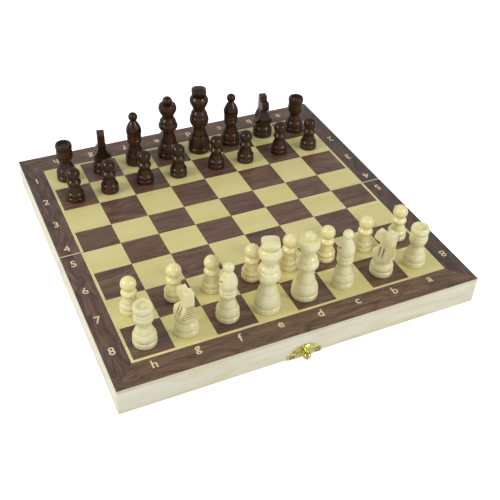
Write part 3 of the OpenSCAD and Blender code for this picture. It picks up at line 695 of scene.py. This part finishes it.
def ball(radius, centre, seat):
    """Stations of a ball above a seat of this radius."""
    count = 2 * STEPS
    span = math.pi - math.asin(seat / radius)
    angles = [span * (1 - i / count) for i in range(1, count)]
    return [
        (radius * math.sin(angle), centre + radius * math.cos(angle), "line") for angle in angles
    ] + [(0, centre + radius, "line")]


def seat_rise(radius, seat):
    """Height of a ball's centre above the seat of this radius."""
    return math.sqrt(radius * radius - seat * seat)


# Foot of a man, in millimetres: depth of the groove over its ring, bevels of the ring and the shelf,
# and the rise from the groove to the fullest place
GROOVE = 0.7
RING_BEVEL = 0.6
SHELF_BEVEL = 0.3
SWELL_RISE = 2.4


def foot(radius, ring, height, shelf):
    """Foot of a man: an upright ring, a groove and a swell that ends in a shelf."""
    return [
        (0, 0, "line"),
        (radius - RING_BEVEL, 0, "line"),
        (radius, RING_BEVEL, "line"),
        (radius, ring, "line"),
        (radius - GROOVE, ring + GROOVE, "line"),
        (radius - GROOVE / 4, ring + GROOVE + SWELL_RISE, "out"),
        (shelf, height, "in"),
        (shelf - SHELF_BEVEL, height + SHELF_BEVEL, "line"),
    ]


def royal(waist_z, waist, body_h, body, neck_h, neck, crown_h, crown, rim):
    """Waist, body with its groove and bead, neck and crown of a king or queen."""
    groove_z = waist_z + body_h
    neck_z = groove_z + neck_h
    root = body - 2.7 * GROOVE
    return [
        (waist, waist_z, "wave"),
        (body, waist_z + 0.6 * body_h, "out"),
        (body - GROOVE, groove_z - 1.5 * GROOVE, "in"),
        (root, groove_z, "line"),
        (root + 0.5, groove_z + 1, "out"),
        (root + 0.25, groove_z + 2, "in"),
        (neck, neck_z, "wave"),
        (crown, neck_z + 0.7 * crown_h, "wave"),
        (rim, neck_z + crown_h, "in"),
    ]


def king_mesh():
    body = lathe("king", foot(10.4, 4.2, 16.6, 7.8) + royal(25.6, 5.5, 12.8, 9, 5.4, 5.6, 14.2, 8.75, 6.8))
    return joined("king", [body, king_cap(57.8, 8.4, 6.8)])


def king_cap(base_z, height, half_width):
    """Square cap: narrow at the foot, widest above the middle, rounded over, its corners eased."""
    profile = eased(outline([
        (0, 0, "line"),
        (0.7 * half_width, 0, "line"),
        (half_width, 0.6 * height, "out"),
        (0.5 * half_width, height, "in"),
        (0, height, "line"),
    ]), CAP_EASE)
    squareness = 0.42

    def corner(share):
        return math.copysign(abs(share) ** squareness, share)

    return revolved("king_cap", profile, base_z, corner)


def queen_mesh():
    seat_z, seat, ball_r = 54.3, 3.6, 4.5
    return lathe("queen", foot(10.5, 4.2, 14.3, 7.8)
                 + royal(26.3, 5.2, 9.2, 8.9, 5.4, 5.3, 13, 8.35, 7.35)
                 + [(seat, seat_z, "line")]
                 + ball(ball_r, seat_z + seat_rise(ball_r, seat), seat))


def bishop_mesh():
    tip_z, tip, ball_r = 45, 2.4, 4.2
    whole = lathe("bishop", foot(9.1, 4.2, 12, 7.3) + [
        (5, 20.4, "wave"),
        (6.6, 24.46, "out"),
        (5.9, 26.2, "in"),
        (6.6, 27.8, "out"),
        (6.1, 29.4, "in"),
        (7, 34.08, "out"),
        (tip, tip_z, "in"),
    ] + ball(ball_r, tip_z + seat_rise(ball_r, tip), tip))
    cut = sawn(whole, [saw_blade(39.1)])
    smooth(cut, SHARP)
    return cut


def saw_blade(height):
    """Blade that leans into the mitre from the front and stops short of its axis."""
    half_width, half_thickness, lean = 7, 0.55, 35
    outer, inner = -15.1, -1.1
    blade = block((-half_width, outer, -half_thickness), (half_width, inner, half_thickness))
    blade.transform(Matrix.Translation((0, 0, height * MM)) @ Matrix.Rotation(math.radians(lean), 4, "X"))
    return blade


def block(low, high):
    corners = [(x, y, z) for x in (low[0], high[0]) for y in (low[1], high[1]) for z in (low[2], high[2])]
    faces = [(0, 1, 3, 2), (4, 6, 7, 5), (0, 4, 5, 1), (2, 3, 7, 6), (0, 2, 6, 4), (1, 5, 7, 3)]
    return mesh_from("block", corners, faces)


def rook_mesh():
    return lathe("rook", foot(9.1, 4.2, 11.6, 7.3) + [
        (4.9, 18.6, "wave"),
        (7.4, 25.2, "out"),
        (6.9, 28, "in"),
        (7.15, 28.4, "line"),
        (6.7, 30.6, "in"),
        (7.4, 33.6, "out"),
        (6.9, 36.1, "in"),
        (6.4, 36.6, "line"),
        (4.8, 36.6, "line"),
        (4.6, 36.4, "line"),
        (4.6, 34.4, "line"),
    ])


def pawn_mesh():
    head_z, seat, ball_r = 21.5, 3.94, 6.05
    return lathe("pawn", foot(7.9, 3.6, 9, 6.5) + [
        (4.7, 15.2, "wave"),
        (6.15, 17.85, "out"),
        (4.64, 20.6, "in"),
        (seat, head_z, "line"),
    ] + ball(ball_r, head_z + seat_rise(ball_r, seat), seat))


# Knight in millimetres: reach of the nape, neck radius at its foot, half thickness of the head, its
# foot and height. The neck flares between these two shares of the head's height
NAPE = 7.8
NECK_R = 8.2
HEAD_T = 3.4
HEAD_Z = 14.0
HEAD_H = 27.5
FLARE_LOW = 0.05
FLARE_HIGH = 0.53
HEAD_REMESH = {"mode": "VOXEL", "voxel_size": 0.3 * MM}
HEAD_SMOOTHING = {"factor": 0.5, "iterations": 3}

# Cuts down each side of the neck: how far forward each lies in millimetres, where they start and
# their steps in shares of the head's height, how they lean back, and how their width tapers
NECK_CUTS = (-0.6, 2.9)
NECK_CUT_FOOT = 0.19
NECK_CUT_STEP = 0.04
NECK_CUT_LEAN = 4
NECK_CUT_TAPER = (0.5, 0.85, 1, 1, 1, 1, 0.85, 0.5)
# Rows sawn across the mane: their number, first place and spacing in shares of the head's height
MANE_ROWS = 6
MANE_FOOT = 0.18
MANE_PITCH = 0.075
MANE_HALF_WIDTH = 10
# Each cut is made in two passes of (depth, radius), the second deeper and finer
NECK_PASSES = ((0, 0.75), (0.8, 0.5))
MANE_PASSES = ((0.1, 0.6), (0.75, 0.45))
CUTTER_SIDES = 12


def head_side():
    """Side of the knight's head, the back at +X, in reaches of the nape and head heights."""
    back = outline([(1, 0, "line"), (1.06, 0.12, "out"), (1, 0.42, "wave"), (1, 0.97, "line"),
                    (0.94, 1, "line")])
    face = [(0.14, 1), (-0.02, 0.85), (-0.93, 0.895), (-1.01, 0.86), (-1.16, 0.66), (-1.13, 0.612),
            (-0.36, 0.575), (-0.3, 0.54)]
    chest = outline([(-1.06, 0.26, "line"), (-1.17, 0.17, "out"), (-1.01, 0, "in")])
    return [(x * NAPE, z * HEAD_H) for x, z in back + face + chest]


def flank(share):
    """Half thickness of the neck at this share of the head's height."""
    run = min(max((share - FLARE_LOW) / (FLARE_HIGH - FLARE_LOW), 0), 1)
    return NECK_R + (HEAD_T - NECK_R) * SHARES["wave"](run)


def head_front():
    """Head and neck from the front: the neck flares to its foot, above it the sides are flat."""
    flare = [FLARE_LOW + (FLARE_HIGH - FLARE_LOW) * i / STEPS for i in range(STEPS + 1)]
    half = [(flank(share), share * HEAD_H) for share in [0] + flare + [1]]
    return half + [(-y, z) for y, z in reversed(half)]


def slab(profile, axis, half_width):
    """Extrusion of a profile of (across, height) along X (axis 0) or Y (axis 1)."""
    n = len(profile)
    verts = []
    for sign in (-1, 1):
        for across, height in profile:
            place = [sign * half_width, sign * half_width, height + HEAD_Z]
            place[1 - axis] = across
            verts.append(tuple(place))
    faces = [tuple(range(n)), tuple(range(2 * n - 1, n - 1, -1))]
    faces += [(i, (i + 1) % n, n + (i + 1) % n, n + i) for i in range(n)]
    return mesh_from("slab", verts, faces)


def gouge(path, radii):
    """Round cutter that follows a path of points in millimetres, with a radius at each."""
    points = [Vector(point) for point in path]
    turns = [2 * math.pi * k / CUTTER_SIDES for k in range(CUTTER_SIDES)]
    tilted_up = Vector((0.3, 0.2, 1))
    work = bmesh.new()
    rings = []
    for i, (point, radius) in enumerate(zip(points, radii)):
        forward = (points[min(i + 1, len(points) - 1)] - points[max(i - 1, 0)]).normalized()
        across = forward.cross(tilted_up).normalized()
        over = forward.cross(across)
        rings.append([
            work.verts.new((point + (across * math.cos(turn) + over * math.sin(turn)) * radius) * MM)
            for turn in turns
        ])
    for low, high in zip(rings, rings[1:]):
        for k in range(CUTTER_SIDES):
            following = (k + 1) % CUTTER_SIDES
            work.faces.new((low[k], low[following], high[following], high[k]))
    work.faces.new(rings[0])
    work.faces.new(rings[-1])
    bmesh.ops.recalc_face_normals(work, faces=work.faces)
    mesh = bpy.data.meshes.new("gouge")
    work.to_mesh(mesh)
    work.free()
    return mesh


def neck_cut(place, sign, depth, width):
    """Cutter for one pass of a cut down the side of the neck."""
    path = []
    for i in range(len(NECK_CUT_TAPER)):
        share = NECK_CUT_FOOT + NECK_CUT_STEP * i
        lean = NECK_CUT_LEAN * (share - NECK_CUT_FOOT)
        path.append((place - lean, sign * (flank(share) - depth), HEAD_Z + share * HEAD_H))
    return gouge(path, [width * size for size in NECK_CUT_TAPER])


def mane_cut(row, depth, width):
    """Cutter for one pass of a row sawn straight across the nape."""
    height = HEAD_Z + (MANE_FOOT + MANE_PITCH * row) * HEAD_H
    path = [(NAPE - depth, y, height) for y in (-MANE_HALF_WIDTH, MANE_HALF_WIDTH)]
    return gouge(path, (width, width))


def knight_cuts():
    necks = [neck_cut(place, sign, *cut) for sign in (-1, 1) for place in NECK_CUTS for cut in NECK_PASSES]
    manes = [mane_cut(row, *cut) for row in range(MANE_ROWS) for cut in MANE_PASSES]
    return necks + manes


def knight_mesh():
    reach = 4 * NECK_R
    bulge = NECK_R + 1.2
    above = HEAD_Z + HEAD_H + 1
    blank = revolved("blank", [(0, HEAD_Z)] + outline([
        (NECK_R, HEAD_Z, "line"),
        (bulge, HEAD_Z + 0.18 * HEAD_H, "out"),
        (bulge, above, "line"),
    ]) + [(0, above)])
    head = slab(head_side(), 1, reach)
    for other in (slab(head_front(), 0, reach), blank):
        head = combined(head, other, "INTERSECT")
    head = applied(head, ("REMESH", HEAD_REMESH), ("SMOOTH", HEAD_SMOOTHING))
    head = sawn(head, knight_cuts())
    smooth(head, HEAD_SHARP)
    neck = lathe("knight", foot(9.4, 4.2, 11.2, 7.4) + [(6.7, 12.9, "in"), (NECK_R, HEAD_Z, "out")])
    return joined("knight", [neck, head])


MESHES = {"king": king_mesh, "queen": queen_mesh, "bishop": bishop_mesh, "knight": knight_mesh,
          "rook": rook_mesh, "pawn": pawn_mesh}
SAWN_MEN = ("bishop", "knight")
# How each man with a front is turned, in degrees
TURNS = {
    "light_king": 340, "dark_king": 340, "light_bishop_left": 210, "light_bishop_right": 200,
    "dark_bishop_left": 330, "dark_bishop_right": 340, "light_knight_left": 274,
    "light_knight_right": 292, "dark_knight_left": 257, "dark_knight_right": 79,
}
# Height over which a man's foot is measured
FOOT_ZONE = 3 * MM


def foot_centre(node):
    """Middle of the man's foot, from the CAD node's lowest points."""
    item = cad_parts[node]
    low = [item.matrix_world @ vertex.co for vertex in item.data.vertices]
    low = [point for point in low if point.z < BOARD_TOP + FOOT_ZONE]
    middle = [(min(p[i] for p in low) + max(p[i] for p in low)) / 2 for i in (0, 1)]
    return (*middle, BOARD_TOP)


def add_men(materials):
    made = {kind: make() for kind, make in MESHES.items()}
    for node in [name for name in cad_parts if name.split("_")[1] in MESHES]:
        side, kind = node.split("_")[:2]
        look = materials["light_pawn" if (side, kind) == ("light", "pawn") else side + "_man"]
        if kind in SAWN_MEN:
            # The cut faces take the darker cut wood: painted shade in the cuts.
            look = (look, materials[side + "_cut"])
        add_piece("man_" + node, made[kind].copy(), look, node,
                  foot_centre(node), math.radians(TURNS.get(node, 0)), (node,))


# Nail heads of the brass plates: radius, and how far they stand out of the plate
NAIL_HEAD_R = 1.3 * MM
NAIL_STAND = 0.7 * MM
# Outline of the dished ring of painted shade round a nail head, as (radius, rise) in millimetres
NAIL_DISH = ((0, 0), (1.95, 0), (1.95, 0.08), (1.6, 0.12), (1.35, 0.06), (0, 0.06))


def add_nail_shade_rings(materials):
    """Dished ring of painted shade round each nail head of the two brass plates."""
    for plate, body, sign in (("catch", "near_half", -1), ("hasp", "far_half", 1)):
        low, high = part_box(plate + "_nails")
        face = abs(low.y if sign < 0 else high.y) - NAIL_STAND
        rings = []
        for x in (low.x + NAIL_HEAD_R, high.x - NAIL_HEAD_R):
            ring = revolved("ring", NAIL_DISH)
            ring.transform(Matrix.Translation((x, sign * face, (low.z + high.z) / 2))
                           @ Matrix.Rotation(math.radians(-90 * sign), 4, "X"))
            rings.append(ring)
        add_piece(plate + "_nail_dishes", joined(plate + "_nail_dishes", rings), materials["painted_nail_shade"], body)


# Joint between two strips of the border, in metres, and the edges of the side strips
JOINT = 0.04 * MM
INNER_X = STRING_EDGE_X + JOINT
OUTER_X = BOARD_EDGE_X
# Distance from the fold at which the side strips are pieced, and the tone of each length
SEAMS = {
    ("near", "left"): (36 * MM, 107.5 * MM),
    ("near", "right"): (),
    ("far", "left"): (),
    ("far", "right"): (),
}
SIDE_TONES = {
    ("near", "left"): ("strip_y", "strip_red_y", "strip_y"),
    ("near", "right"): ("strip_right_y",),
    ("far", "left"): ("strip_y",),
    ("far", "right"): ("strip_right_y",),
}
LONG_TONES = {"near": "strip_x", "far": "strip_red_x"}


def strip(name, corners, material, half):
    """Flat veneer strip through these corners in metres, one veneer thick."""
    low = BOARD_TOP - VENEER
    verts = [(x / MM, y / MM, z / MM) for z in (low, BOARD_TOP) for x, y in corners]
    n = len(corners)
    faces = [tuple(range(n - 1, -1, -1)), tuple(range(n, 2 * n))]
    faces += [(i, (i + 1) % n, n + (i + 1) % n, n + i) for i in range(n)]
    return add_piece(name, mesh_from(name, verts, faces), material, half + "_half")


def side_corners(way, start, outer_end, inner_end):
    """Corners of a length of side strip, which is mitred where its ends differ."""
    inner, outer = way * INNER_X, way * OUTER_X
    return [(inner, start), (outer, start), (outer, outer_end), (inner, inner_end)]


def add_bare_edges(materials):
    """Bare panel at the fold, where the far half's side strips are trimmed back."""
    start, end = FOLD_GAP / 2, FOLD_GAP / 2 + FOLD_TRIM - JOINT
    for side, way in SIDES:
        corners = side_corners(way, start, end, end)
        strip("far_bare_edge_" + side, corners, materials["ply"], "far")


def add_long_strip(half, inner_y, outer_y, material):
    corners = [(-INNER_X, inner_y), (INNER_X, inner_y), (OUTER_X, outer_y), (-OUTER_X, outer_y)]
    long_strip = strip(half + "_border_long", corners, material, half)
    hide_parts(half + "_border")


def add_borders(materials):
    """Mitred border strips. The side strips are made of lengths, as their seams and tones show."""
    for half, sign in HALVES:
        low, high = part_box(half + "_stringing")
        inner_y = sign * (max(abs(low.y), abs(high.y)) + JOINT)
        outer_y = sign * BOARD_EDGE_Y
        fold = sign * FOLD_GAP / 2 + (FOLD_TRIM if half == "far" else 0)
        if half == "far":
            add_bare_edges(materials)
        add_long_strip(half, inner_y, outer_y, materials[LONG_TONES[half]])
        gap = sign * JOINT
        for side, way in SIDES:
            seams = [sign * seam for seam in SEAMS[half, side]]
            starts = [fold] + [seam + gap / 2 for seam in seams]
            ends = [(seam - gap / 2,) * 2 for seam in seams] + [(outer_y - gap, inner_y - gap)]
            lengths = zip(starts, ends, SIDE_TONES[half, side])
            for i, (start, (outer_end, inner_end), tone) in enumerate(lengths, 1):
                strip("%s_border_%s_%d" % (half, side, i), side_corners(way, start, outer_end, inner_end),
                      materials[tone], half)


# Printed coordinates: their places, in metres. The digits are measured from the fold
LETTERS = "hgfedcba"
LETTER_START = -118 * MM
LETTER_PITCH = SQUARE
LETTER_Y = {"near": -136.2 * MM, "far": 137.7 * MM}
DIGITS = {"near": "5678", "far": "4321"}
DIGIT_X = 141.8 * MM
DIGIT_START = {"near": 11 * MM, "far": 9.5 * MM}
DIGIT_PITCH = {"near": 34.1 * MM, "far": 34.3 * MM}
LABEL_SIZE = 10.6 * MM
LABEL_WEIGHT = 0.13 * MM
LABEL_CURVE_STEPS = 3
INK_THICKNESS = 0.02 * MM


def label_mesh(character, place, turned):
    """One flat character, its middle at place, upside down when turned."""
    curve = bpy.data.curves.new("label", "FONT")
    curve.body = character
    curve.size = LABEL_SIZE
    curve.extrude = INK_THICKNESS / 2
    curve.offset = LABEL_WEIGHT
    curve.resolution_u = LABEL_CURVE_STEPS
    holder = bpy.data.objects.new("label", curve)
    bpy.context.scene.collection.objects.link(holder)
    mesh = bpy.data.meshes.new_from_object(holder.evaluated_get(bpy.context.evaluated_depsgraph_get()))
    bpy.data.objects.remove(holder)
    xs, ys = [v.co.x for v in mesh.vertices], [v.co.y for v in mesh.vertices]
    middle = Vector(((min(xs) + max(xs)) / 2, (min(ys) + max(ys)) / 2, 0))
    turn = Matrix.Rotation(math.pi if turned else 0, 4, "Z")
    mesh.transform(Matrix.Translation(place) @ turn @ Matrix.Translation(-middle))
    return mesh


def add_labels(materials):
    height = BOARD_TOP + INK_THICKNESS / 2
    for half, sign in HALVES:
        labels = [
            label_mesh(letter, (LETTER_START + i * LETTER_PITCH, LETTER_Y[half], height), half == "far")
            for i, letter in enumerate(LETTERS)
        ]
        for i, digit in enumerate(DIGITS[half]):
            y = sign * (DIGIT_START[half] + i * DIGIT_PITCH[half])
            labels += [label_mesh(digit, (way * DIGIT_X, y, height), way > 0) for way in (-1, 1)]
        name = half + "_labels"
        add_piece(name, joined(name, labels), materials["ink"], half + "_half")


make_camera()
make_lights()
white_world()
make_floor()
MATERIALS = make_materials()
dress_box(MATERIALS)
add_borders(MATERIALS)
add_labels(MATERIALS)
add_nail_shade_rings(MATERIALS)
add_men(MATERIALS)

bpy.context.scene.view_settings.view_transform = "Standard"
